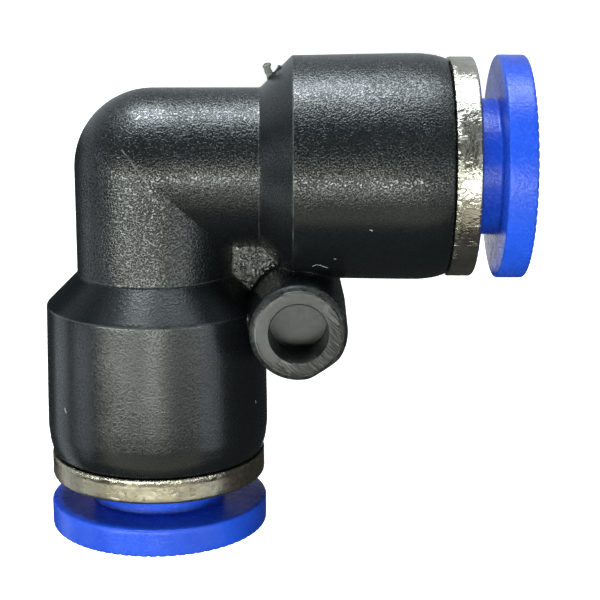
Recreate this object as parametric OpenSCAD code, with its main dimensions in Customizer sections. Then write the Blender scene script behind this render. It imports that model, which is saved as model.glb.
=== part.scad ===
// Push to connect union elbow for 6 mm tube, with a mounting boss.
// The two ports are alike: each holds a seal, a seal seat, a toothed grab
// ring, a plated end ring and a release sleeve that is pushed in to let the
// tube go. The fitting lies on its side: Z runs along the mounting hole, port
// A points along +X and port B along -Y. The origin is the centre of the
// mounting hole in the back face of the boss.

/* [Tube] */
// Outer radius of the tube the ports take
tube_r = 3.0; // [2.98:0.01:3.02]
// Radial clearance of the tube in the body's socket
socket_clear = 0.05; // [0.03:0.01:0.08]
// Radius of the flow passage past the tube stop
flow_r = 2.0; // [1.7:0.1:2.2]

/* [Body] */
// Outer radius of the slim tubes of the elbow
slim_r = 4.52; // [4.4:0.02:4.7]
// Outer radius of a port barrel just past its shoulder
barrel_r = 6.34; // [6.3:0.02:6.38]
// Largest outer radius of a port barrel, which bulges slightly
bulge_r = 6.45; // [6.4:0.01:6.5]
// Outer radius of a port barrel at its mouth
mouth_r = 6.18; // [6.14:0.02:6.34]
// Distance from the crossing of the port axes to the foot of the shoulder
shoulder_s = 6.10; // [6.0:0.02:6.3]
// Distance from the crossing of the port axes to the mouth of the body
mouth_s = 16.74; // [16.7:0.01:16.8]
// Distance from the crossing of the port axes to the tube stop
stop_s = 5.0; // [4.8:0.1:5.4]

/* [Mounting boss] */
// Distance of the boss axis from each port axis
boss_c = 8.22; // [8.1:0.02:8.3]
// Radius of the boss at the mould parting plane
boss_r = 2.82; // [2.7:0.02:2.9]
// Draft of the boss, taken off its radius at each end
boss_draft = 0.1; // [0:0.02:0.14]
// Bevel round each end of the boss
boss_bevel = 0.28; // [0.1:0.02:0.3]
// Radius of the two blind mounting holes
hole_r = 1.65; // [1.5:0.05:1.7]
// Depth of each blind mounting hole
hole_depth = 3.0; // [2:0.1:4]
// Thickness of the web between the two barrels
web_t = 1.6; // [1.2:0.1:2.4]
// Distance of the trimmed flat on the boss from the hole axis
flat_d = 2.54; // [2.3:0.02:2.7]

/* [End ring] */
// Outer radius of the visible collar of the ring
collar_r = 6.28; // [6.1:0.02:6.3]
// Length of the visible collar
collar_t = 1.44; // [1.3:0.02:1.46]
// Radius of the bore the release sleeve slides in
neck_bore_r = 3.98; // [3.96:0.01:4.0]
// Interference of the barbs that hold the ring in the body
barb_bite = 0.08; // [0.04:0.01:0.1]

/* [Release sleeve] */
// Outer radius of the sleeve's neck
neck_r = 3.90; // [3.88:0.01:3.9]
// Inner radius of the sleeve
sleeve_bore_r = 3.1; // [3.08:0.01:3.14]
// Radius of the push flange
flange_r = 6.38; // [6.2:0.02:6.42]
// Thickness of the push flange
flange_t = 1.63; // [1.5:0.01:1.7]
// Distance from the crossing of the port axes to the flange of sleeve A
flange_a_s = 19.54; // [19.5:0.02:19.6]
// Distance from the crossing of the port axes to the flange of sleeve B
flange_b_s = 19.70; // [19.64:0.02:19.72]
// Width of the slots between the sleeve's spring fingers
finger_slot = 0.8; // [0.6:0.05:1.0]

/* [Grab ring and seal] */
// Number of teeth on the grab ring
teeth = 8; // [6:1:10]
// Radius of the teeth's tips, less than the tube's
tip_r = 2.85; // [2.84:0.01:2.9]
// Inner radius of the seal's lip, less than the tube's
lip_r = 2.85; // [2.84:0.01:2.9]

/* [Hidden] */
$fn = 96;

half = bulge_r + 0.02;              // height of the port axes above the back face
socket_r = tube_r + socket_clear;   // tube socket
seat_s = 9.4;                       // floor of the cavity for the seal
cavity_r = 5.0;                     // cavity for seal, seat, grab ring and end ring
shoulder_e = shoulder_s + barrel_r - slim_r;  // 45 degree shoulder
seal_e = 12.15;                     // seal
rim_s = 13.4;                       // grab ring rim, on the seal seat
rim_t = 0.25;
ring_s = rim_s + rim_t;             // inner end of the end ring
ring_e = mouth_s + 0.02 + collar_t; // outer end of the end ring
catch_s = 15.9;                     // shoulder in the ring that keeps the sleeve in
nose_s = 14.2;                      // inner end of a sleeve that is out against the shoulder

// Port frames: local Z points out of the port, local origin at the crossing
module port_a() { translate([-boss_c, boss_c, half]) rotate([0, 90, 0]) children(); }
module port_b() { translate([-boss_c, boss_c, half]) rotate([90, 0, 0]) children(); }

// ---- body ----
// Outline of one port barrel, radius against distance
module barrel() {
    rotate_extrude() polygon([
        [0, 0], [slim_r, 0], [slim_r, shoulder_s], [barrel_r, shoulder_e],
        [barrel_r + (bulge_r - barrel_r) * 0.4, 10.4],
        [barrel_r + (bulge_r - barrel_r) * 0.75, 12.6],
        [bulge_r, 14.2], [bulge_r, 15.2], [bulge_r - 0.09, 16.0],
        [mouth_r + 0.04, 16.5], [mouth_r - 0.08, mouth_s], [0, mouth_s]]);
}

// Passage, tube socket and cavity of one port, as one tool
module port_bore() {
    cylinder(r = flow_r, h = stop_s + 0.1);
    translate([0, 0, stop_s]) cylinder(r = socket_r, h = seat_s - stop_s + 0.1);
    translate([0, 0, seat_s]) cylinder(r = cavity_r, h = mouth_s - seat_s + 1);
}

// One half of the boss, from the parting plane up
module boss_half() {
    rotate_extrude() polygon([
        [0, 0], [boss_r, 0], [boss_r - boss_draft, half - boss_bevel],
        [boss_r - boss_draft - boss_bevel, half], [0, half]]);
}

module body() color([0.13, 0.14, 0.15]) difference() {
    union() {
        translate([-boss_c, boss_c, half]) sphere(r = slim_r);
        port_a() barrel();
        port_b() barrel();
        // web that fills the corner between the barrels
        translate([-boss_c, 0, half - web_t / 2]) cube([boss_c, boss_c, web_t]);
        // mounting boss, drafted both ways from the parting plane and
        // trimmed flat on the outer side
        difference() {
            union() {
                translate([0, 0, half]) boss_half();
                translate([0, 0, half]) mirror([0, 0, 1]) boss_half();
            }
            rotate([0, 0, -56]) translate([flat_d, -4, -1]) cube([4, 8, 2 * half + 2]);
        }
    }
    port_a() port_bore();
    port_b() port_bore();
    // the flow passages meet in a rounded corner
    translate([-boss_c, boss_c, half]) sphere(r = flow_r);
    // two blind mounting holes, one from each face
    translate([0, 0, -1]) cylinder(r = hole_r, h = hole_depth + 1);
    translate([0, 0, 2 * half - hole_depth]) cylinder(r = hole_r, h = hole_depth + 1);
}

// ---- end ring, plated brass ----
module end_ring() color([0.72, 0.70, 0.66]) rotate_extrude() polygon([
    [4.45, ring_s], [4.9, ring_s],
    // three barbs that bite into the cavity's wall
    [cavity_r - 0.02, ring_s + 0.3], [cavity_r + barb_bite, 14.6], [cavity_r - 0.06, 14.62],
    [cavity_r - 0.02, 14.9], [cavity_r + barb_bite, 15.4], [cavity_r - 0.06, 15.42],
    [cavity_r - 0.02, 15.7], [cavity_r + barb_bite, 16.2], [cavity_r - 0.06, 16.22],
    [cavity_r - 0.06, mouth_s + 0.02],
    // visible collar
    [collar_r - 0.06, mouth_s + 0.02], [collar_r, mouth_s + 0.08],
    [collar_r, ring_e - 0.2], [collar_r - 0.06, ring_e - 0.06], [collar_r - 0.2, ring_e],
    [neck_bore_r + 0.3, ring_e], [neck_bore_r, ring_e - 0.3],
    [neck_bore_r, catch_s], [4.45, catch_s]]);

// ---- release sleeve, with four spring fingers and a push flange ----
// It is drawn out against the ring's shoulder, as in port B, and pushed in by push
module release_sleeve(push) color([0.08, 0.22, 0.85]) translate([0, 0, -push]) difference() {
    rotate_extrude() polygon([
        [sleeve_bore_r, nose_s], [sleeve_bore_r + 0.28, nose_s], [neck_r, nose_s + 0.5],
        [neck_r, catch_s - 0.8], [neck_r + 0.45, catch_s - 0.56], [neck_r + 0.45, catch_s - 0.02],
        [neck_r, catch_s - 0.02],
        [neck_r, flange_b_s - 0.15], [neck_r + 0.15, flange_b_s],
        [flange_r - 0.15, flange_b_s], [flange_r, flange_b_s + 0.15],
        [flange_r, flange_b_s + flange_t - 0.18], [flange_r - 0.18, flange_b_s + flange_t],
        [sleeve_bore_r + 0.45, flange_b_s + flange_t], [sleeve_bore_r, flange_b_s + flange_t - 0.6]]);
    for (a = [45, 135])
        rotate([0, 0, a]) translate([-6, -finger_slot / 2, nose_s - 1]) cube([12, finger_slot, 3.9]);
}

// ---- grab ring: a clamped rim and teeth that lean inward ----
module grab_ring() color([0.75, 0.76, 0.78]) difference() {
    rotate_extrude() polygon([
        [4.95, rim_s], [4.95, rim_s + rim_t], [4.3, rim_s + rim_t],
        [tip_r, rim_s + rim_t - 0.84], [tip_r, rim_s + rim_t - 1.06], [4.42, rim_s]]);
    for (i = [0 : teeth - 1]) rotate([0, 0, (i + 0.5) * 360 / teeth])
        translate([tip_r - 1, -0.2, rim_s - 2]) cube([4.15 - tip_r + 1, 0.4, 3]);
}

// ---- seal seat: backs the seal and carries the grab ring's rim ----
module seal_seat() color([0.9, 0.9, 0.88]) rotate_extrude() polygon([
    [3.2, seal_e + 0.02], [4.97, seal_e + 0.02], [4.97, rim_s - 0.01], [4.48, rim_s - 0.01],
    [4.42, 13.1], [3.2, 12.42]]);

// ---- tube seal with a lip ----
module tube_seal() color([0.1, 0.1, 0.1]) rotate_extrude() polygon([
    [3.35, seat_s + 0.02], [4.9, seat_s + 0.02], [4.97, seat_s + 0.1], [4.97, seal_e - 0.08],
    [4.9, seal_e], [3.5, seal_e], [3.3, seal_e - 0.25], [lip_r + 0.06, 11.15], [lip_r, 11.0],
    [lip_r, 10.75], [lip_r + 0.06, 10.6], [3.25, 10.2], [3.25, seat_s + 0.12]]);

module end_ring_a() { port_a() end_ring(); }
module release_sleeve_a() { port_a() release_sleeve(flange_b_s - flange_a_s); }
module grab_ring_a() { port_a() grab_ring(); }
module seal_seat_a() { port_a() seal_seat(); }
module tube_seal_a() { port_a() tube_seal(); }

module end_ring_b() { port_b() end_ring(); }
module release_sleeve_b() { port_b() release_sleeve(0); }
module grab_ring_b() { port_b() grab_ring(); }
module seal_seat_b() { port_b() seal_seat(); }
module tube_seal_b() { port_b() tube_seal(); }

body();
end_ring_a();
release_sleeve_a();
grab_ring_a();
seal_seat_a();
tube_seal_a();
end_ring_b();
release_sleeve_b();
grab_ring_b();
seal_seat_b();
tube_seal_b();
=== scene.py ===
import bpy, bmesh, math
import numpy as np
from mathutils import Matrix, Vector


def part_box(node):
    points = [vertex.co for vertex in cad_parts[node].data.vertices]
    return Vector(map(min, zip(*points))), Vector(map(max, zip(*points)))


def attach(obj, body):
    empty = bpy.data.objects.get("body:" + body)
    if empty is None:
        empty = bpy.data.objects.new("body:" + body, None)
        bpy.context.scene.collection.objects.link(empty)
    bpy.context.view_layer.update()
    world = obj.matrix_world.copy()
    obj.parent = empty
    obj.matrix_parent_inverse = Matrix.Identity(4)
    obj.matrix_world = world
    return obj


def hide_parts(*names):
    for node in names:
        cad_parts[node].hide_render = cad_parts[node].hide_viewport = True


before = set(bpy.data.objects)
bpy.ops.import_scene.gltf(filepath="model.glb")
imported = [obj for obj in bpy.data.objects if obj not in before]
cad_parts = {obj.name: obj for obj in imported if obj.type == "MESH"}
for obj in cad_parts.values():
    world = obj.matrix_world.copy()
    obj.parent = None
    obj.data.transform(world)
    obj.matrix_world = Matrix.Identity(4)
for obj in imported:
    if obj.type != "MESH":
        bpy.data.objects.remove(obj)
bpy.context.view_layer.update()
MM = 0.001

# ---------------------------------------------------------------- reference points from the frame
def centre(node):
    lo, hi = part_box(node)
    return (np.array(lo) + np.array(hi)) / 2

def corners(node):
    lo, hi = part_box(node)
    return np.array(lo), np.array(hi)

ra, rb = centre("end_ring_a"), centre("end_ring_b")
P0 = np.array([rb[0], ra[1], ra[2]])                 # crossing of the two port axes, in metres
HALF = P0[2] / MM                                    # mm above the back face
BOSS = -P0[0] / MM                                   # mm from each port axis to the boss axis
RING_E = (corners("end_ring_a")[1][0] - P0[0]) / MM  # outer face of the end ring's collar
FLA_E = (corners("release_sleeve_a")[1][0] - P0[0]) / MM
FLB_E = (P0[1] - corners("release_sleeve_b")[0][1]) / MM
FL_T = 1.63
FLB = FLB_E - FL_T
PUSH_A = FLB_E - FLA_E

PORT_A = Matrix.Translation(Vector(P0)) @ Matrix.Rotation(math.radians(90), 4, "Y")
PORT_B = Matrix.Translation(Vector(P0)) @ Matrix.Rotation(math.radians(90), 4, "X")

# ---------------------------------------------------------------- camera
def rot(rx, ry, rz):
    cx, sx, cy, sy, cz, sz = math.cos(rx), math.sin(rx), math.cos(ry), math.sin(ry), math.cos(rz), math.sin(rz)
    Rx = np.array([[1, 0, 0], [0, cx, -sx], [0, sx, cx]])
    Ry = np.array([[cy, 0, sy], [0, 1, 0], [-sy, 0, cy]])
    Rz = np.array([[cz, -sz, 0], [sz, cz, 0], [0, 0, 1]])
    return Rz @ Ry @ Rx

scene = bpy.context.scene
cam = bpy.data.objects.new("camera", bpy.data.cameras.new("camera"))
scene.collection.objects.link(cam)
cam.data.sensor_width = 36
cam.data.lens = 1655.9 / 600 * 36
M = Matrix(rot(0.241, 0.015, 0.002).T.tolist()).to_4x4()
M.translation = Vector(P0 + np.array([6.935, 15.233, 93.999]) * MM)
cam.matrix_world = M
cam.data.clip_start, cam.data.clip_end = 0.005, 5
scene.camera = cam

# ---------------------------------------------------------------- small helpers
def smin(a, b, k):
    h = np.maximum(k - np.abs(a - b), 0) / k
    return np.minimum(a, b) - h * h * k * 0.25

def smax(a, b, k):
    return -smin(-a, -b, k)

def hash2(i, j, seed):
    n = (i * 374761393 + j * 668265263 + seed * 2147483647) & 0xFFFFFFFF
    n = ((n ^ (n >> 13)) * 1274126177) & 0xFFFFFFFF
    return ((n ^ (n >> 16)) & 0xFFFFFF) / float(0xFFFFFF)

def vnoise(x, y, size, seed):
    """Smooth value noise from -1 to 1 with cells of the given size."""
    u, v = x / size, y / size
    i, j = np.floor(u).astype(np.int64), np.floor(v).astype(np.int64)
    fu, fv = u - i, v - j
    fu, fv = fu * fu * (3 - 2 * fu), fv * fv * (3 - 2 * fv)
    a, b = hash2(i, j, seed), hash2(i + 1, j, seed)
    c, d = hash2(i, j + 1, seed), hash2(i + 1, j + 1, seed)
    return ((a * (1 - fu) + b * fu) * (1 - fv) + (c * (1 - fu) + d * fu) * fv) * 2 - 1

def surface_nets(f, lo, hi, h):
    """Closed quad mesh of f = 0, inside where f < 0."""
    n = np.ceil((np.array(hi) - np.array(lo)) / h).astype(int) + 1
    ax = [lo[d] + h * np.arange(n[d]) for d in range(3)]
    X, Y = np.meshgrid(ax[0], ax[1], indexing="ij")
    F = np.empty(tuple(n))
    for k, z in enumerate(ax[2]):
        F[:, :, k] = f(X, Y, np.full_like(X, z))
    S = F < 0
    c = [S[i:n[0] - 1 + i, j:n[1] - 1 + j, k:n[2] - 1 + k] for i in (0, 1) for j in (0, 1) for k in (0, 1)]
    some, every = c[0].copy(), c[0].copy()
    for q in c[1:]:
        some |= q
        every &= q
    cells = np.argwhere(some & ~every)
    index = -np.ones(tuple(n - 1), np.int64)
    index[tuple(cells.T)] = np.arange(len(cells))
    pos, cnt = np.zeros((len(cells), 3)), np.zeros(len(cells))
    offs = [np.array(o) for o in [(0, 0, 0), (1, 0, 0), (0, 1, 0), (0, 0, 1), (1, 1, 0), (1, 0, 1), (0, 1, 1), (1, 1, 1)]]
    pairs = [(a, b) for a in offs for b in offs if (b - a).sum() == 1 and ((b - a) >= 0).all()]
    for a, b in pairs:
        fa, fb = F[tuple((cells + a).T)], F[tuple((cells + b).T)]
        m = (fa < 0) != (fb < 0)
        t = np.where(m, fa / np.where(m, fa - fb, 1), 0)
        pos += m[:, None] * (a + t[:, None] * (b - a))
        cnt += m
    verts = np.array(lo) + h * (cells + pos / cnt[:, None])
    quads = []
    for d in range(3):
        e, g = (d + 1) % 3, (d + 2) % 3
        sl0, sl1 = [slice(1, -1)] * 3, [slice(1, -1)] * 3
        sl0[d], sl1[d] = slice(0, -1), slice(1, None)
        diff = S[tuple(sl0)] != S[tuple(sl1)]
        at = np.argwhere(diff)
        at[:, e] += 1
        at[:, g] += 1
        q = []
        for de, dg in ((-1, -1), (0, -1), (0, 0), (-1, 0)):
            w = at.copy()
            w[:, e] += de
            w[:, g] += dg
            q.append(index[tuple(w.T)])
        q = np.stack(q, 1)
        flip = ~S[tuple(at.T)]
        q[flip] = q[flip][:, ::-1]
        quads.append(q)
    return verts, np.concatenate(quads)

def gradient(f, P, e=0.004):
    g = np.empty_like(P)
    for d in range(3):
        a, b = P.copy(), P.copy()
        a[:, d] += e
        b[:, d] -= e
        g[:, d] = f(*a.T) - f(*b.T)
    return g / (2 * e)

def settle(f, P, rounds=4, cap=0.12):
    """Move points onto f = 0."""
    P = P.copy()
    for _ in range(rounds):
        g = gradient(f, P)
        step = f(*P.T)[:, None] * g / np.maximum((g * g).sum(1), 1e-4)[:, None]
        long = np.maximum(np.linalg.norm(step, axis=1), 1e-12)
        P -= step * np.minimum(1, cap / long)[:, None]
    return P

def unit_normals(f, P):
    g = gradient(f, P)
    return g / np.maximum(np.linalg.norm(g, axis=1), 1e-9)[:, None]

def set_mesh(me, verts, faces):
    me.from_pydata([], [], [])
    me.vertices.add(len(verts))
    me.vertices.foreach_set("co", np.asarray(verts, np.float32).ravel())
    me.loops.add(faces.size)
    me.loops.foreach_set("vertex_index", np.asarray(faces, np.int32).ravel())
    me.polygons.add(len(faces))
    me.polygons.foreach_set("loop_start", np.arange(0, faces.size, faces.shape[1], dtype=np.int32))
    me.update(calc_edges=True)
    me.validate()

def sdf_mesh(name, f, lo, hi, h, levels, force=None):
    """A mesh of f = 0 in mm, split finer where it curves, with the normals of f itself."""
    v, q = surface_nets(f, lo, hi, h)
    v = settle(f, v, 4, h * 0.8)
    me = bpy.data.meshes.new(name)
    set_mesh(me, v, q)
    for level, (angle, shortest) in enumerate(levels):
        P = np.empty(len(me.vertices) * 3)
        me.vertices.foreach_get("co", P)
        P = P.reshape(-1, 3)
        N = unit_normals(f, P)
        E = np.empty(len(me.edges) * 2, np.int32)
        me.edges.foreach_get("vertices", E)
        E = E.reshape(-1, 2)
        turn = np.degrees(np.arccos(np.clip((N[E[:, 0]] * N[E[:, 1]]).sum(1), -1, 1)))
        long = np.linalg.norm(P[E[:, 0]] - P[E[:, 1]], axis=1)
        mid = (P[E[:, 0]] + P[E[:, 1]]) / 2
        pick = (turn > angle) & (long > shortest)
        if force is not None:
            pick |= force(mid, level) & (long > shortest)
        bm = bmesh.new()
        bm.from_mesh(me)
        bm.edges.ensure_lookup_table()
        chosen = [bm.edges[i] for i in np.nonzero(pick)[0]]
        bmesh.ops.subdivide_edges(bm, edges=chosen, cuts=1, use_grid_fill=True)
        bmesh.ops.triangulate(bm, faces=[g for g in bm.faces if len(g.verts) > 4])
        bm.to_mesh(me)
        bm.free()
        P = np.empty(len(me.vertices) * 3)
        me.vertices.foreach_get("co", P)
        P = settle(f, P.reshape(-1, 3), 3, h * 0.3)
        me.vertices.foreach_set("co", P.astype(np.float32).ravel())
        me.update()
    return me, P

def finish_mesh(me, f, P, shift):
    """mm to metres, moved by shift, smooth with the surface's own normals."""
    N = unit_normals(f, P)
    me.vertices.foreach_set("co", (P * MM + shift).astype(np.float32).ravel())
    me.polygons.foreach_set("use_smooth", np.ones(len(me.polygons), bool))
    me.update()
    me.normals_split_custom_set_from_vertices(N.tolist())
    me.update()

def add(name, me, mats, body, slot, *nodes):
    ob = bpy.data.objects.new(name, me)
    scene.collection.objects.link(ob)
    for m in mats:
        me.materials.append(m)
    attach(ob, body)
    if nodes:
        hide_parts(*nodes)
    return ob

# ---------------------------------------------------------------- node materials
class Mat:
    def __init__(self, name):
        self.m = bpy.data.materials.new(name)
        self.m.use_nodes = True
        self.t = self.m.node_tree
        self.b = self.t.nodes["Principled BSDF"]
        self.co = self.t.nodes.new("ShaderNodeTexCoord").outputs["Object"]

    def node(self, kind, ins=None, **props):
        n = self.t.nodes.new(kind)
        for k, v in props.items():
            setattr(n, k, v)
        for k, v in (ins or {}).items():
            if hasattr(v, "is_output"):
                self.t.links.new(v, n.inputs[k])
            else:
                n.inputs[k].default_value = v
        return n

    def math(self, op, a, b=0.0, c=0.0, clamp=False):
        return self.node("ShaderNodeMath", {0: a, 1: b, 2: c}, operation=op, use_clamp=clamp).outputs[0]

    def noise(self, scale, detail=2.0, rough=0.5, co=None, distortion=0.0):
        return self.node("ShaderNodeTexNoise", {"Vector": co or self.co, "Scale": scale, "Detail": detail,
                                                "Roughness": rough, "Distortion": distortion}).outputs["Fac"]

    def ramp(self, fac, a, b, lo=0.0, hi=1.0, smooth=True):
        return self.node("ShaderNodeMapRange", {"Value": fac, "From Min": a, "From Max": b, "To Min": lo, "To Max": hi},
                         interpolation_type="SMOOTHSTEP" if smooth else "LINEAR").outputs[0]

    def mix(self, fac, a, b):
        n = self.t.nodes.new("ShaderNodeMix")
        n.data_type = "RGBA"
        for i, v in ((0, fac), (6, a), (7, b)):
            if hasattr(v, "is_output"):
                self.t.links.new(v, n.inputs[i])
            else:
                n.inputs[i].default_value = v
        return n.outputs[2]

    def bump(self, height, distance, strength=1.0, normal=None):
        ins = {"Height": height, "Distance": distance, "Strength": strength}
        if normal is not None:
            ins["Normal"] = normal
        return self.node("ShaderNodeBump", ins).outputs["Normal"]

    def xyz(self):
        s = self.node("ShaderNodeSeparateXYZ", {0: self.co})
        return s.outputs

    def set(self, **kw):
        for k, v in kw.items():
            k = k.replace("_", " ")
            if hasattr(v, "is_output"):
                self.t.links.new(v, self.b.inputs[k])
            else:
                self.b.inputs[k].default_value = v
        return self.m

# ---- black moulded body
def port_coords(m, x, y, z):
    """Distance along each port and from its axis, in mm."""
    dx = m.math("MULTIPLY", m.math("SUBTRACT", x, float(P0[0])), 1000.0)
    dy = m.math("MULTIPLY", m.math("SUBTRACT", y, float(P0[1])), 1000.0)
    dz = m.math("MULTIPLY", m.math("SUBTRACT", z, float(P0[2])), 1000.0)
    r_a = m.math("SQRT", m.math("ADD", m.math("MULTIPLY", dy, dy), m.math("MULTIPLY", dz, dz)))
    r_b = m.math("SQRT", m.math("ADD", m.math("MULTIPLY", dx, dx), m.math("MULTIPLY", dz, dz)))
    return dx, dy, dz, r_a, r_b

def band(m, v, lo, hi, soft=0.05):
    """1 between lo and hi."""
    return m.math("MULTIPLY", m.ramp(v, lo - soft, lo + soft), m.ramp(v, hi - soft, hi + soft, 1.0, 0.0))

def stroke(m, p, q, width, wobble=0.0):
    """1 near the segment from p to q, in mm from the crossing of the ports."""
    p, q = np.array(p, float), np.array(q, float)
    pos = m.node("ShaderNodeVectorMath", {0: m.co, 1: tuple(P0)}, operation="SUBTRACT").outputs[0]
    pos = m.node("ShaderNodeVectorMath", {0: pos, "Scale": 1000.0}, operation="SCALE").outputs[0]
    rel = m.node("ShaderNodeVectorMath", {0: pos, 1: tuple(p)}, operation="SUBTRACT").outputs[0]
    d = q - p
    long = float(np.linalg.norm(d))
    t = m.node("ShaderNodeVectorMath", {0: rel, 1: tuple(d / long)}, operation="DOT_PRODUCT").outputs["Value"]
    t = m.math("MINIMUM", m.math("MAXIMUM", t, 0.0), long)
    along = m.node("ShaderNodeVectorMath", {0: tuple(d / long), "Scale": t}, operation="SCALE").outputs[0]
    off = m.node("ShaderNodeVectorMath", {0: rel, 1: along}, operation="SUBTRACT").outputs[0]
    dist = m.node("ShaderNodeVectorMath", {0: off}, operation="LENGTH").outputs["Value"]
    return m.ramp(dist, width * 0.5, width * 1.1, 1.0, 0.0)

MARKS = [((9.02, -4.95, 3.98), (9.24, -4.84, 4.12), 0.032), ((9.24, -4.84, 4.12), (9.43, -4.87, 4.10), 0.038),
         ((9.43, -4.87, 4.10), (9.86, -5.09, 3.84), 0.042), ((6.71, -4.38, 2.69), (6.76, -4.41, 2.73), 0.034),
         ((6.90, -4.47, 2.90), (6.98, -4.50, 2.94), 0.04), ((10.22, -4.40, 4.62), (10.28, -4.42, 4.61), 0.04),
         ((-5.02, -13.20, 4.02), (-4.92, -13.42, 4.12), 0.05), ((5.80, -13.16, 2.78), (5.82, -13.30, 2.74), 0.05),
         ((12.10, -2.52, 5.90), (12.22, -2.56, 5.88), 0.032)]

def black_material():
    m = Mat("black_pbt")
    x, y, z = m.xyz()
    dx, dy, dz, r_a, r_b = port_coords(m, x, y, z)
    s_b = m.math("MULTIPLY", dy, -1.0)
    sh_a = m.math("MULTIPLY", band(m, dx, 6.12, 7.92), band(m, r_a, 4.60, 6.42))
    sh_b = m.math("MULTIPLY", band(m, s_b, 6.12, 7.92), band(m, r_b, 4.60, 6.42))
    shoulder = m.math("MAXIMUM", sh_a, sh_b)
    ba_b = m.math("MULTIPLY", m.ramp(s_b, 7.8, 8.0), band(m, r_b, 5.5, 6.6))
    # spark-eroded grain
    fine = m.noise(9400, 1.0, 0.5, distortion=0.35)
    worm = m.ramp(fine, 0.32, 0.68, smooth=True)
    mid = m.noise(2600, 2.0, 0.5)
    big = m.noise(420, 2.0, 0.5)
    amount = m.ramp(big, 0.3, 0.7, 0.95, 1.45)
    amount = m.math("MULTIPLY", amount, m.math("SUBTRACT", 1.0, m.math("MULTIPLY", shoulder, 0.60)))
    amount = m.math("MULTIPLY", amount, m.math("SUBTRACT", 1.0, m.math("MULTIPLY", ba_b, 0.70)))
    calm = m.math("MULTIPLY", m.ramp(dx, 6.6, 7.4), m.ramp(dy, -2.4, 0.4, 1.0, 0.0))
    amount = m.math("MULTIPLY", amount, m.math("SUBTRACT", 1.0, m.math("MULTIPLY", calm, 0.8)))
    amount = m.math("MULTIPLY", amount, m.ramp(s_b, 1.5, 3.5, 1.0, 0.78))
    away = m.math("SQRT", m.math("ADD", m.math("POWER", m.math("SUBTRACT", dx, BOSS), 2.0), m.math("POWER", m.math("SUBTRACT", s_b, BOSS), 2.0)))
    boss = m.ramp(away, 2.86, 2.98, 1.0, 0.0)
    end = m.math("MULTIPLY", boss, m.ramp(m.math("ABSOLUTE", dz), HALF - 0.14, HALF - 0.05))
    face = m.math("MULTIPLY", end, m.ramp(away, 2.36, 2.42, 1.0, 0.0))
    bore_in = m.ramp(away, 1.66, 1.72, 1.0, 0.0)
    amount = m.math("MULTIPLY", amount, m.math("SUBTRACT", 1.0, m.math("MULTIPLY", boss, 0.55)))
    amount = m.math("MULTIPLY", amount, m.math("SUBTRACT", 1.0, m.math("MULTIPLY", m.math("MAXIMUM", face, bore_in), 0.93)))
    grain = m.math("MULTIPLY", m.math("MULTIPLY_ADD", mid, 0.5, worm), amount)
    # knife marks across the outer side of the boss face
    cv = m.node("ShaderNodeCombineXYZ", {0: m.math("ADD", dx, dy), 1: m.math("MULTIPLY", m.math("SUBTRACT", dx, dy), 0.06)}).outputs[0]
    outer = m.math("MULTIPLY", m.math("SUBTRACT", m.math("ADD", dx, s_b), 2 * BOSS), 0.7071)
    cut = m.math("MULTIPLY", face, m.ramp(m.math("MULTIPLY_ADD", m.noise(600, 2.0, 0.5), 1.2, outer), 0.5, 1.7))
    cuts = m.math("MULTIPLY", m.ramp(m.noise(6.2, 2.0, 0.6, co=cv), 0.42, 0.56), cut)
    # fine turned lines on the two shoulders
    sv = m.math("ADD", m.math("MULTIPLY", dx, sh_a), m.math("MULTIPLY", s_b, sh_b))
    lv = m.node("ShaderNodeCombineXYZ", {0: sv}).outputs[0]
    lines = m.math("MULTIPLY", m.noise(9.0, 2.0, 0.6, co=lv), shoulder)
    height = m.math("MULTIPLY_ADD", lines, 0.35, m.math("MULTIPLY_ADD", cuts, 2.6, grain))
    n = m.bump(height, 0.0000100, 1.0)
    rough = m.math("MULTIPLY_ADD", mid, 0.06, m.ramp(worm, 0.0, 1.0, 0.26, 0.155))
    rough = m.math("ADD", rough, m.math("MULTIPLY", m.math("MAXIMUM", face, bore_in), 0.12))
    col = m.mix(mid, (0.0050, 0.0066, 0.0074, 1), (0.0078, 0.0097, 0.0105, 1))
    pale = m.math("MULTIPLY", m.math("MAXIMUM", face, m.math("MULTIPLY", bore_in, 0.8)), m.ramp(m.noise(700, 3.0, 0.6), 0.2, 0.8, 0.75, 1.0))
    cut_col = m.mix(cut, (0.0100, 0.0118, 0.0114, 1), m.mix(cuts, (0.0030, 0.0038, 0.0038, 1), (0.0210, 0.0240, 0.0230, 1)))
    # the bore's wall: plain dark at two sides, and between them, on the -Y side that faces +Y, a pale and glossier band
    # of painted light
    ang = m.math("ARCTAN2", m.math("SUBTRACT", s_b, BOSS), m.math("SUBTRACT", dx, BOSS))
    ang = m.math("MULTIPLY_ADD", m.noise(900, 2.0, 0.5), 0.30, m.math("SUBTRACT", ang, 0.15))
    wall = m.math("MULTIPLY", m.ramp(away, 1.56, 1.61), m.math("MULTIPLY", bore_in, m.ramp(m.math("ABSOLUTE", dz), HALF - 0.12, HALF - 0.06, 1.0, 0.0)))
    bore_painted_light = m.math("MULTIPLY", wall, band(m, ang, 0.95, 1.95, 0.16))
    cut_col = m.mix(wall, cut_col, (0.010, 0.012, 0.012, 1))
    # painted light: pale colour on the band of the bore wall that faces +Y
    cut_col = m.mix(bore_painted_light, cut_col, (0.07, 0.075, 0.075, 1))
    col = m.mix(pale, col, cut_col)
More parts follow.
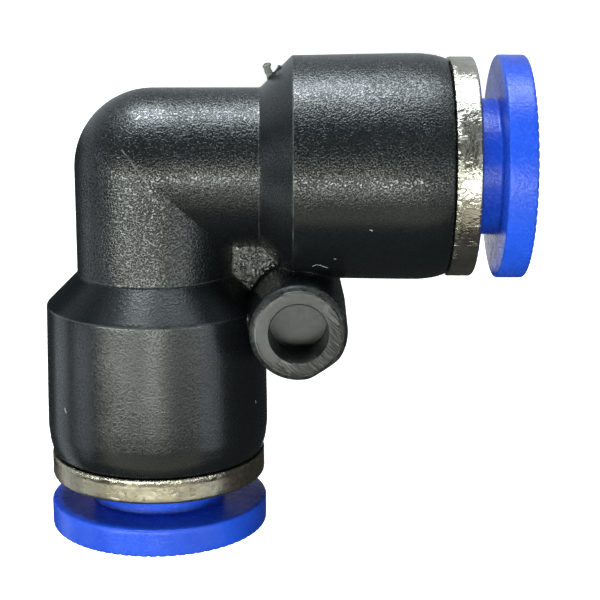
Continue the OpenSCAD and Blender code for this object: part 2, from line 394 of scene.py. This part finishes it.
    # scuffed bevel round the boss face, and between the two a painted highlight line
    bevel = m.math("MULTIPLY", m.math("MULTIPLY", boss, m.ramp(m.math("ABSOLUTE", dz), HALF - 0.36, HALF - 0.30)), m.ramp(away, 2.40, 2.44))
    scab = m.ramp(m.noise(3800, 3.0, 0.65, distortion=0.8), 0.38, 0.60)
    col = m.mix(bevel, col, m.mix(scab, (0.007, 0.0085, 0.0085, 1), (0.036, 0.040, 0.039, 1)))
    # painted highlight: thin pale patches along the edge of the boss face, placed by noise
    edge = m.math("MULTIPLY", end, band(m, away, 2.37, 2.42, 0.02))
    col = m.mix(edge, col, m.mix(m.ramp(m.noise(500, 2.0, 0.5), 0.42, 0.55), (0.006, 0.007, 0.007, 1), (0.13, 0.14, 0.14, 1)))
    # painted highlight: a paler line on the two edges of each shoulder, weaker where each shoulder meets its slim tube,
    # fading on the sides towards the boss
    rim = m.math("MAXIMUM", m.math("MULTIPLY", band(m, dx, 7.885, 7.955, 0.025), m.ramp(r_a, 6.20, 6.26)),
                 m.math("MULTIPLY", band(m, s_b, 7.885, 7.955, 0.025), m.ramp(r_b, 6.20, 6.26)))
    root = m.math("MAXIMUM", m.math("MULTIPLY", band(m, dx, 6.015, 6.065, 0.02), band(m, r_a, 4.46, 4.60)),
                  m.math("MULTIPLY", band(m, s_b, 6.015, 6.065, 0.02), band(m, r_b, 4.46, 4.60)))
    rim = m.math("MAXIMUM", rim, m.math("MULTIPLY", root, 0.7))
    rim = m.math("MULTIPLY", rim, m.ramp(away, 2.95, 3.05))
    far = m.math("MINIMUM", m.math("MULTIPLY", dy, -1.0), dx)
    rim = m.math("MULTIPLY", rim, m.ramp(far, 3.0, 4.4, 1.0, 0.1))
    col = m.mix(m.math("MULTIPLY", rim, m.ramp(m.noise(900, 2.0, 0.6), 0.3, 0.6, 0.25, 1.0)), col, (0.060, 0.067, 0.068, 1))
    # rough web face, torn gate, a painted highlight line along the elbow's crease and small pale marks
    web = m.math("MULTIPLY", m.math("MULTIPLY", band(m, dx, 4.3, 7.6), band(m, s_b, 4.3, 7.6)), band(m, dz, -1.1, 1.1))
    web = m.math("MULTIPLY", web, m.ramp(away, 2.9, 3.3))
    crust = m.ramp(m.noise(3800, 3.0, 0.65, distortion=0.6), 0.40, 0.62)
    col = m.mix(m.math("MULTIPLY", web, 0.85), col, m.mix(crust, (0.010, 0.012, 0.011, 1), (0.115, 0.124, 0.108, 1)))
    gate = m.math("MULTIPLY", band(m, dx, 6.0, 7.5), m.math("MULTIPLY", band(m, dz, -0.6, 0.8), m.ramp(m.math("SUBTRACT", dy, dx), -1.50, -1.40)))
    col = m.mix(m.math("MULTIPLY", gate, m.ramp(m.noise(4200, 2.0, 0.6), 0.30, 0.5)), col, (0.25, 0.25, 0.235, 1))
    # painted highlight: a pale line over the smooth top of the elbow, where a crease would catch the light
    crease_highlight_line = stroke(m, (-1.42, 1.58, 3.99), (-0.75, 0.76, 4.39), 0.045)
    crease_highlight_line = m.math("MAXIMUM", crease_highlight_line, stroke(m, (-0.75, 0.76, 4.39), (-0.11, -0.11, 4.52), 0.045))
    col = m.mix(crease_highlight_line, col, (0.12, 0.13, 0.13, 1))
    marks = None
    for p, q, w in MARKS:
        k = stroke(m, p, q, w)
        marks = k if marks is None else m.math("MAXIMUM", marks, k)
    if marks is not None:
        col = m.mix(marks, col, (0.42, 0.44, 0.44, 1))
    gloss = m.math("MULTIPLY_ADD", m.math("MULTIPLY", m.math("SUBTRACT", worm, 0.5), amount), 0.40, m.ramp(m.noise(170, 1.0, 0.5), 0.3, 0.7, 0.40, 0.58))
    gloss = m.math("MULTIPLY", gloss, m.math("SUBTRACT", 1.0, m.math("MULTIPLY", m.math("MAXIMUM", bevel, m.math("MULTIPLY", sh_b, 0.9)), 0.6)))
    gloss = m.math("MULTIPLY_ADD", bore_painted_light, 0.3, gloss)
    rough = m.math("MULTIPLY_ADD", bevel, 0.16, rough)
    rough = m.math("MULTIPLY", rough, m.math("SUBTRACT", 1.0, m.math("MULTIPLY", bore_painted_light, 0.5)))
    return m.set(Base_Color=col, Roughness=rough, Normal=n, Specular_IOR_Level=m.math("MAXIMUM", gloss, 0.06))

def nickel_material():
    m = Mat("nickel_plate")
    x, y, z = m.xyz()
    dx, dy, dz, r_a, r_b = port_coords(m, x, y, z)
    s = m.math("MAXIMUM", dx, m.math("MULTIPLY", dy, -1.0))
    fine = m.noise(5600, 2.0, 0.6)
    dents = m.noise(2100, 3.0, 0.62, distortion=0.4)
    slow = m.noise(600, 2.0, 0.5)
    # burrs and tool marks where the collar meets the plastic
    edge = m.math("MULTIPLY", m.ramp(s, 16.86, 17.16, 1.0, 0.0), m.ramp(m.noise(700, 2.0, 0.6), 0.36, 0.56))
    burr = m.math("MULTIPLY", m.noise(2600, 3.0, 0.7, distortion=1.2), edge)
    # a few fine scratches
    scv = m.node("ShaderNodeMapping", {"Vector": m.co, "Scale": (900.0, 5200.0, 900.0), "Rotation": (0.4, 0.3, 0.5)}).outputs[0]
    scr = m.ramp(m.noise(1.0, 1.0, 0.4, co=scv), 0.66, 0.72)
    # ring B: rougher, with flatter dents, and a darker colour that is painted shade
    ring_b_dull_and_painted_shade = m.ramp(m.math("MULTIPLY", dy, -1.0), 10.0, 12.0)
    height = m.math("MULTIPLY_ADD", dents, 1.6, fine)
    height = m.math("MULTIPLY_ADD", scr, 0.5, height)
    height = m.math("MULTIPLY", height, m.math("SUBTRACT", 1.0, m.math("MULTIPLY", ring_b_dull_and_painted_shade, 0.70)))
    height = m.math("MULTIPLY_ADD", burr, 3.6, height)
    n = m.bump(height, 0.000026, 1.0)
    rough = m.math("ADD", m.ramp(dents, 0.3, 0.7, 0.14, 0.25), m.math("MULTIPLY", scr, 0.15))
    rough = m.math("MULTIPLY_ADD", m.math("MULTIPLY", ring_b_dull_and_painted_shade, m.math("SUBTRACT", 1.0, edge)), 0.10, rough)
    pits = m.ramp(m.noise(5200, 2.0, 0.6), 0.30, 0.44, 0.45, 1.0)
    col = m.mix(m.ramp(slow, 0.35, 0.65), (0.42, 0.395, 0.335, 1), (0.58, 0.555, 0.485, 1))
    # painted shade: ring B darker and browner, less so along the collar's edge
    col = m.mix(m.math("MULTIPLY", ring_b_dull_and_painted_shade, m.math("SUBTRACT", 0.9, m.math("MULTIPLY", edge, 0.5))), col, (0.340, 0.305, 0.225, 1))
    col = m.mix(pits, (0.20, 0.19, 0.16, 1), col)
    return m.set(Base_Color=col, Metallic=0.97, Roughness=rough, Normal=n)

def blue_material():
    m = Mat("blue_pom")
    fine = m.noise(6600, 2.0, 0.55)
    mid = m.noise(1400, 2.0, 0.5)
    smooth = m.ramp(m.xyz()[1], float(P0[1]) - 0.012, float(P0[1]) - 0.010, 0.45, 1.0)
    n = m.bump(m.math("MULTIPLY", m.math("MULTIPLY_ADD", mid, 0.6, fine), smooth), 0.000034, 1.0)
    rough = m.math("MULTIPLY_ADD", fine, 0.14, m.ramp(mid, 0.3, 0.7, 0.17, 0.24))
    col = m.mix(m.ramp(m.noise(300, 2, 0.5), 0.3, 0.7), (0.012, 0.068, 0.60, 1), (0.016, 0.090, 0.74, 1))
    col = m.mix(m.math("MULTIPLY", m.ramp(fine, 0.48, 0.70), m.math("MULTIPLY_ADD", smooth, 0.5, -0.14)), col, (0.045, 0.165, 0.92, 1))
    return m.set(Base_Color=col, Roughness=rough, Normal=n, Specular_IOR_Level=0.36)

def plain_material(name, col, col2, rough, scale, metal=0.0, depth=0.000008):
    m = Mat(name)
    a = m.noise(scale, 3.0, 0.55)
    n = m.bump(a, depth, 0.5)
    return m.set(Base_Color=m.mix(m.ramp(a, 0.3, 0.7), (*col, 1), (*col2, 1)), Metallic=metal,
                 Roughness=m.ramp(a, 0.3, 0.7, rough - 0.05, rough + 0.07), Normal=n)

BLACK = black_material()
NICKEL = nickel_material()
BLUE = blue_material()
STEEL = plain_material("spring_steel", (0.62, 0.62, 0.64), (0.72, 0.72, 0.74), 0.24, 4000, 1.0)
WHITE = plain_material("white_pom", (0.72, 0.72, 0.69), (0.80, 0.80, 0.77), 0.42, 3000)
NBR = plain_material("black_nbr", (0.012, 0.012, 0.013), (0.022, 0.022, 0.024), 0.55, 3500)

# ---------------------------------------------------------------- body
SLIM, S1, R_SH, R_BULGE, MOUTH = 4.52, 6.10, 6.34, 6.45, 16.74
KS = [7.6, 9.0, 10.4, 12.6, 14.2, 15.2, 16.0, 16.5, 16.9]
KR = [6.335, 6.355, 6.384, 6.4225, 6.45, 6.45, 6.36, 6.22, 6.06]
_fine = np.linspace(7.0, 17.5, 421)
_rb = np.interp(_fine, KS, KR)
_rb = np.convolve(np.pad(_rb, 12, mode="edge"), np.hanning(25) / np.hanning(25).sum(), "valid")

def leg(s, r):
    cone = ((r - SLIM) - (s - S1)) * 0.70711
    side = r - np.interp(s, _fine, _rb)
    barrel = smax(smax(cone, side, 0.06), s - MOUTH, 0.24)
    slim = np.maximum(r - SLIM, s - 12)
    return np.maximum(smin(slim, barrel, 0.07), -s)

def bore(s, r):
    flow = np.maximum(r - 2.0, s - 5.2)
    socket = np.maximum(r - 3.05, np.maximum(5.0 - s, s - 9.6))
    cavity = np.maximum(r - 5.0 - np.maximum(s - 16.55, 0) * 0.8, np.maximum(9.4 - s, s - 20))
    return np.minimum(np.minimum(np.maximum(flow, -s), socket), cavity)

def prong(x, y, z, p, q, r):
    """A flattened finger from p to q."""
    p, d = np.array(p), np.array(q) - np.array(p)
    t = np.clip(((x - p[0]) * d[0] + (y - p[1]) * d[1] + (z - p[2]) * d[2]) / (d @ d), 0, 1)
    return np.sqrt((x - p[0] - t * d[0]) ** 2 + (y - p[1] - t * d[1]) ** 2 + (0.55 * (z - p[2] - t * d[2])) ** 2) - r

def body_f(x, y, z):
    ra_, rb_ = np.hypot(y, z), np.hypot(x, z)
    A, B = leg(x, ra_), leg(-y, rb_)
    k = 0.01 + 0.05 * np.clip(1 - (z / SLIM) ** 2, 0, 1)
    d = smin(A, B, k)
    d = np.minimum(d, np.sqrt(x * x + y * y + z * z) - SLIM)
    # rough web in the corner
    inside = np.maximum(np.maximum(-x, x - BOSS), np.maximum(y, -y - BOSS))
    r1 = 1 - np.abs(vnoise(x + 0.3 * y, y, 0.42, 3))
    r2 = 1 - np.abs(vnoise(x, y - 0.2 * x, 0.21, 5))
    rough = 0.085 * (r1 * 0.65 + r2 * 0.35 - 0.55)
    web = np.maximum(inside, np.abs(z) - 0.8 - rough)
    d = smin(d, web, 0.08)
    # boss
    bx, by = x - BOSS, y + BOSS
    rr, az = np.hypot(bx, by), np.abs(z)
    side = rr - (2.82 - 0.10 * az / HALF)
    lip = np.clip((rr - 2.36) / 0.05, 0, 1)
    boss = smax(side, az - (HALF - 0.05 * lip * lip * (3 - 2 * lip)), 0.06)
    boss = smax(boss, (rr + az - (2.44 + HALF)) * 0.70711, 0.12)
    boss = smax(boss, bx * 0.5592 - by * 0.8290 - 2.54, 0.08)
    d = smin(d, boss, 0.22)
    # what is left of the gate, on the shoulder of port A
    wob = 0.05 * vnoise(x + z, y - z, 0.24, 11) + 0.035 * vnoise(z - y, x, 0.13, 12)
    nub = smin(prong(x, y, z, (6.74, 4.98, 0.12), (6.49, 5.74, 0.20), 0.17),
               prong(x, y, z, (6.86, 5.06, 0.05), (7.24, 5.68, 0.00), 0.13), 0.10)
    nub = smin(nub, prong(x, y, z, (6.44, 5.76, 0.20), (6.56, 5.80, 0.15), 0.13), 0.06) + wob
    d = smin(d, nub, 0.08)
    # bores
    cut = np.minimum(np.minimum(bore(x, ra_), bore(-y, rb_)), np.sqrt(x * x + y * y + z * z) - 2.0)
    d = smax(d, -cut, 0.06)
    hole = np.maximum(rr - 1.65, (HALF - 3.0) - az)
    d = smax(d, -hole, 0.07)
    return d

def body_force(P, level):
    x, y, z = P.T
    web = (x > 3.5) & (x < 8) & (y < -3.5) & (y > -8) & (np.abs(z) < 1.1)
    nub = (np.abs(x - 6.72) < 0.7) & (np.abs(y - 5.4) < 0.8) & (np.abs(z) < 0.8)
    return (web & (level < 2)) | (nub & (level < 2))

me, P = sdf_mesh("moulded_body", body_f, (-6.9, -17.2, -6.9), (17.2, 6.9, 6.9), 0.2,
                 [(9, 0.08), (9, 0.05), (11, 0.03)], body_force)
finish_mesh(me, body_f, P, P0)
body = add("moulded_body", me, [BLACK], "fitting", "black_pbt", "body")

# ---------------------------------------------------------------- turned and moulded rings
def rounded(points):
    """Closed outline from (s, r, fillet, steps)."""
    out = []
    n = len(points)
    for i, (s, r, rad, steps) in enumerate(points):
        p = np.array([s, r])
        if rad <= 0:
            out.append(p)
            continue
        a, b = np.array(points[i - 1][:2]) - p, np.array(points[(i + 1) % n][:2]) - p
        la, lb = np.linalg.norm(a), np.linalg.norm(b)
        a, b = a / la, b / lb
        half = math.acos(max(-1, min(1, a @ b))) / 2
        t = min(rad / math.tan(half), la * 0.49, lb * 0.49)
        rad = t * math.tan(half)
        c = p + (a + b) / np.linalg.norm(a + b) * (rad / math.sin(half))
        u, v = p + a * t - c, p + b * t - c
        ang = math.atan2(u[0] * v[1] - u[1] * v[0], u @ v)
        for k in range(steps + 1):
            w = ang * k / steps
            out.append(c + np.array([u[0] * math.cos(w) - u[1] * math.sin(w), u[0] * math.sin(w) + u[1] * math.cos(w)]))
    return np.array(out)

def split_long(prof, longest):
    out = []
    n = len(prof)
    for i in range(n):
        a, b = prof[i], prof[(i + 1) % n]
        k = max(1, int(np.ceil(np.linalg.norm(b - a) / longest)))
        for j in range(k):
            out.append(a + (b - a) * j / k)
    return np.array(out)

def lathe(name, prof, n, warp=None):
    """Turn a closed outline (s, r) in mm about local Z. warp may move the points."""
    prof = np.array(prof)
    m = len(prof)
    area = 0.5 * np.sum(prof[:, 0] * np.roll(prof[:, 1], -1) - np.roll(prof[:, 0], -1) * prof[:, 1])
    phi = np.arange(n) * 2 * math.pi / n
    S = np.repeat(prof[None, :, 0], n, 0)
    R = np.repeat(prof[None, :, 1], n, 0)
    PH = np.repeat(phi[:, None], m, 1)
    if warp is not None:
        S, R = warp(S, R, PH)
    V = np.stack([R * np.cos(PH), R * np.sin(PH), S], 2).reshape(-1, 3)
    i = np.arange(n)[:, None]
    j = np.arange(m)[None, :]
    a = i * m + j
    b = i * m + (j + 1) % m
    c = ((i + 1) % n) * m + (j + 1) % m
    d = ((i + 1) % n) * m + j
    F = np.stack([a, b, c, d] if area < 0 else [a, d, c, b], 2).reshape(-1, 4)
    me = bpy.data.meshes.new(name)
    set_mesh(me, V * MM, F)
    me.polygons.foreach_set("use_smooth", np.ones(len(me.polygons), bool))
    return me

def weld_shade(ob, angle):
    me = ob.data
    bm = bmesh.new()
    bm.from_mesh(me)
    bmesh.ops.recalc_face_normals(bm, faces=bm.faces)
    for e in bm.edges:
        if len(e.link_faces) == 2:
            e.smooth = e.calc_face_angle(0) < math.radians(angle)
    for g in bm.faces:
        g.smooth = True
    bm.to_mesh(me)
    bm.free()

# end ring
c0 = 16.76
ring_prof = split_long(rounded([
    (13.65, 4.45, 0.05, 2), (13.65, 4.9, 0.06, 2), (13.95, 4.98, 0, 0), (14.6, 5.06, 0.02, 2), (14.62, 4.94, 0, 0),
    (14.9, 4.98, 0, 0), (15.4, 5.06, 0.02, 2), (15.42, 4.94, 0, 0), (15.7, 4.98, 0, 0), (16.2, 5.06, 0.02, 2),
    (16.22, 4.94, 0, 0), (c0, 4.94, 0, 0), (c0, 6.275, 0.07, 4), (RING_E, 6.275, 0.22, 7),
    (RING_E, 4.2, 0.10, 4), (RING_E - 0.28, 3.985, 0.06, 3), (15.9, 3.985, 0.04, 2), (15.9, 4.45, 0.04, 2)]), 0.22)

def ring_warp(S, R, PH):
    # faint waviness of the collar's edges and face
    out = (S > c0 + 0.03) & (R > 6.0)
    w = 0.012 * vnoise(PH * 6.2, S, 0.9, 21) + 0.006 * vnoise(PH * 6.2, S, 0.3, 22)
    R = np.where(out, np.minimum(R + w - 0.006, 6.28), R)
    return S, R

for p, port in (("a", PORT_A), ("b", PORT_B)):
    me = lathe("plated_ring_" + p, ring_prof, 288, ring_warp)
    me.transform(port)
    ob = add("plated_ring_" + p, me, [NICKEL], "fitting", "nickel_plate", "end_ring_" + p)
    weld_shade(ob, 35)

# release sleeves
RIBS = 72
f0, f1 = FLB, FLB_E
sleeve_prof = split_long(rounded([
    (14.2, 3.1, 0.05, 2), (14.2, 3.38, 0.10, 3), (14.7, 3.9, 0.10, 3), (15.1, 3.9, 0.05, 2), (15.34, 4.35, 0.08, 3),
    (15.88, 4.35, 0.05, 3), (15.88, 3.9, 0.03, 2), (f0, 3.9, 0.16, 6), (f0, 6.375, 0.14, 6), (f1, 6.375, 0.20, 8),
    (f1, 3.62, 0.12, 4), (f1 - 0.6, 3.1, 0.20, 5)]), 0.24)

def sleeve_warp(S, R, PH):
    # shallow radial ribs on the push face, running out over its rim
    t = (PH * RIBS / (2 * math.pi)) % 1.0
    groove = np.clip(1 - np.abs(t - 0.5) / 0.22, 0, 1)
    groove = groove * groove * (3 - 2 * groove)
    face = np.clip((S - (f1 - 0.20)) / 0.18, 0, 1) * np.clip((R - 4.5) / 0.25, 0, 1)
    return S - 0.045 * groove * face, R - 0.010 * groove * np.clip((S - (f1 - 0.3)) / 0.25, 0, 1) * (R > 6.0)

def cutter(lo, hi):
    bm = bmesh.new()
    bmesh.ops.create_cube(bm, size=1)
    for v in bm.verts:
        v.co = Vector([lo[i] + (v.co[i] + 0.5) * (hi[i] - lo[i]) for i in range(3)]) * MM
    me = bpy.data.meshes.new("cutter")
    bm.to_mesh(me)
    bm.free()
    return me

def cut_slots(me, width, lo_s, hi_s):
    """Four finger slots, as two boxes across the sleeve."""
    ob = bpy.data.objects.new("tmp_sleeve", me)
    scene.collection.objects.link(ob)
    tools = []
    for a in (45, 135):
        c = bpy.data.objects.new("tmp_cut", cutter((-6, -width / 2, lo_s), (6, width / 2, hi_s)))
        c.matrix_world = Matrix.Rotation(math.radians(a), 4, "Z")
        scene.collection.objects.link(c)
        mod = ob.modifiers.new("cut", "BOOLEAN")
        mod.operation, mod.object, mod.solver = "DIFFERENCE", c, "EXACT"
        tools.append(c)
    bpy.context.view_layer.update()
    dg = bpy.context.evaluated_depsgraph_get()
    out = bpy.data.meshes.new_from_object(ob.evaluated_get(dg))
    for o in [ob] + tools:
        bpy.data.objects.remove(o, do_unlink=True)
    return out

sleeve_me = cut_slots(lathe("sleeve", sleeve_prof, RIBS * 8, sleeve_warp), 0.8, 13.0, 17.1)
for p, port, push in (("a", PORT_A, PUSH_A), ("b", PORT_B, 0.0)):
    me = sleeve_me.copy()
    me.name = "push_sleeve_" + p
    me.transform(port @ Matrix.Translation((0, 0, -push * MM)))
    ob = add("push_sleeve_" + p, me, [BLUE], "sleeve_" + p, "blue_pom", "release_sleeve_" + p)
    weld_shade(ob, 35)

# ---------------------------------------------------------------- inner pieces keep their CAD shape
for p in "ab":
    for node, mat in (("grab_ring_", STEEL), ("seal_seat_", WHITE), ("tube_seal_", NBR)):
        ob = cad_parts[node + p]
        ob.data.materials.clear()
        ob.data.materials.append(mat)

# ---------------------------------------------------------------- floor and light
fm = Mat("floor_white")
floor_mat = fm.set(Base_Color=fm.mix(fm.ramp(fm.noise(20, 2, 0.5), 0.3, 0.7), (0.86, 0.86, 0.86, 1), (0.88, 0.88, 0.88, 1)),
                   Roughness=0.8, Specular_IOR_Level=0.1, Emission_Color=(1, 1, 1, 1), Emission_Strength=0.85)
bm = bmesh.new()
bmesh.ops.create_grid(bm, x_segments=4, y_segments=4, size=1.2)
me = bpy.data.meshes.new("floor")
bm.to_mesh(me)
bm.free()
me.materials.append(floor_mat)
floor = bpy.data.objects.new("floor", me)
floor.location = (0, 0, -0.00002)
scene.collection.objects.link(floor)
floor.visible_glossy = False
floor.visible_diffuse = False

bm = bmesh.new()
bmesh.ops.create_uvsphere(bm, u_segments=64, v_segments=32, radius=1.15)
bmesh.ops.delete(bm, geom=[v for v in bm.verts if v.co.z < -0.05], context="VERTS")
me = bpy.data.meshes.new("backdrop")
bm.to_mesh(me)
bm.free()
me.materials.append(floor_mat)
backdrop = bpy.data.objects.new("backdrop", me)
scene.collection.objects.link(backdrop)
backdrop.visible_glossy = False
backdrop.visible_diffuse = False
backdrop.visible_shadow = False

world = bpy.data.worlds.new("studio")
scene.world = world
world.use_nodes = True
world.node_tree.nodes["Background"].inputs["Color"].default_value = (0.95, 0.97, 1.0, 1)
world.node_tree.nodes["Background"].inputs["Strength"].default_value = 0.04

def lamp(name, shape, size, radiance, color, where, aim, diffuse=True):
    """An area light given by its brightness, so that its size can be changed alone."""
    l = bpy.data.lights.new(name, "AREA")
    l.shape = shape
    l.size = size[0]
    if shape == "RECTANGLE":
        l.size_y = size[1]
        area = size[0] * size[1]
    else:
        area = math.pi * size[0] ** 2 / 4
    l.energy = radiance * math.pi * area
    l.color = color
    o = bpy.data.objects.new(name, l)
    o.location = where
    o.rotation_mode = "QUATERNION"
    way = Vector(aim) - Vector(where)
    if abs(way.x) + abs(way.y) > 1e-9:
        o.rotation_quaternion = way.to_track_quat("-Z", "Y")
    elif way.z > 0:
        o.rotation_quaternion = (0, 1, 0, 0)
    o.visible_camera = False
    o.visible_diffuse = diffuse
    scene.collection.objects.link(o)
    return o

def ceiling(name, y_deg, x_deg, radiance, color, h=0.4):
    """A flat panel overhead, between two angles from vertical each way."""
    t = lambda d: h * math.tan(math.radians(d))
    y0, y1, x0, x1 = t(y_deg[0]), t(y_deg[1]), t(x_deg[0]), t(x_deg[1])
    where = ((x0 + x1) / 2, (y0 + y1) / 2 + 0.005, h)
    lamp(name, "RECTANGLE", (x1 - x0, y1 - y0), radiance, color, where, (where[0], where[1], 0))

def softbox(name, az, el, radiance, color, dist=0.5, size=0.2):
    a, e = math.radians(az), math.radians(el)
    p = Vector((math.sin(a) * math.cos(e), math.cos(a) * math.cos(e), math.sin(e))) * dist
    lamp(name, "DISK", (size,), radiance, color, p, (0, 0, 0))

def floor_card(name, x, y, radiance, color):
    """A lit card lying on the floor, seen only in reflections; x and y ranges in mm."""
    where = ((x[0] + x[1]) / 2 * MM, (y[0] + y[1]) / 2 * MM, 0.0001)
    lamp(name, "RECTANGLE", ((x[1] - x[0]) * MM, (y[1] - y[0]) * MM), radiance, color, where, (where[0], where[1], 1), False)

WARM, COOL, PLAIN = (0.95, 1.0, 0.89), (0.86, 0.95, 1.0), (0.92, 1.0, 0.96)
ceiling("top_left_a", (-12, -3), (-60, -40), 13.0, PLAIN, 0.400)
ceiling("top_left_b", (-12, -3), (-60, -28), 8.0, PLAIN, 0.402)
ceiling("top_left_c", (-12, -3), (-60, -16), 6.0, WARM, 0.404)
ceiling("top_mid_a", (-11, -4), (-40, 8), 12.5, WARM, 0.406)
ceiling("top_mid_b", (-11, -4), (-12, 14), 4.3, WARM, 0.408)
ceiling("top_right", (-14, -4), (-10, 54), 4.9, PLAIN, 0.410)
ceiling("right_slope", (2, 48), (12, 42), 0.4, COOL, 0.411)
ceiling("front_wall_a", (-50, -30), (-58, 50), 0.9, (1.0, 0.96, 0.82), 0.412)
ceiling("front_wall_b", (-30, -16), (-58, 50), 0.20, (1.0, 0.96, 0.82), 0.414)
softbox("right_high", 90, 48, 2.6, PLAIN)
softbox("right_back", 108, 30, 1.4, COOL)
softbox("window_a", 36, 12, 1.8, COOL)
softbox("window_b", 349, 2, 24.0, COOL)
softbox("window_e", 11, 3, 8.5, COOL)
softbox("window_c", 324, 12, 1.2, COOL)
softbox("window_d", 0, 20, 1.1, COOL)
softbox("left_low", 252, 10, 1.4, COOL)
softbox("left_low_b", 280, 8, 1.2, COOL)
floor_card("card_back", (-44, 44), (44, 120), 7.0, COOL)
floor_card("card_near", (-40, 44), (11, 42), 0.6, COOL)
floor_card("card_left", (-60, -26), (-34, 20), 1.0, COOL)
floor_card("card_flange", ((float(P0[0]) / MM + 18.3), (float(P0[0]) / MM + 20.3)), (float(P0[1]) / MM - 7.5, float(P0[1]) / MM + 7.5), 1.5, (0.94, 0.95, 1.0))

floor_card("card_flange_b", (float(P0[0]) / MM - 7.5, float(P0[0]) / MM + 7.5), (float(P0[1]) / MM - 20.3, float(P0[1]) / MM - 18.3), 0.8, (0.94, 0.95, 1.0))
scene.view_settings.view_transform = "Standard"
scene.view_settings.look = "None"
scene.view_settings.exposure = 0
scene.view_settings.gamma = 1
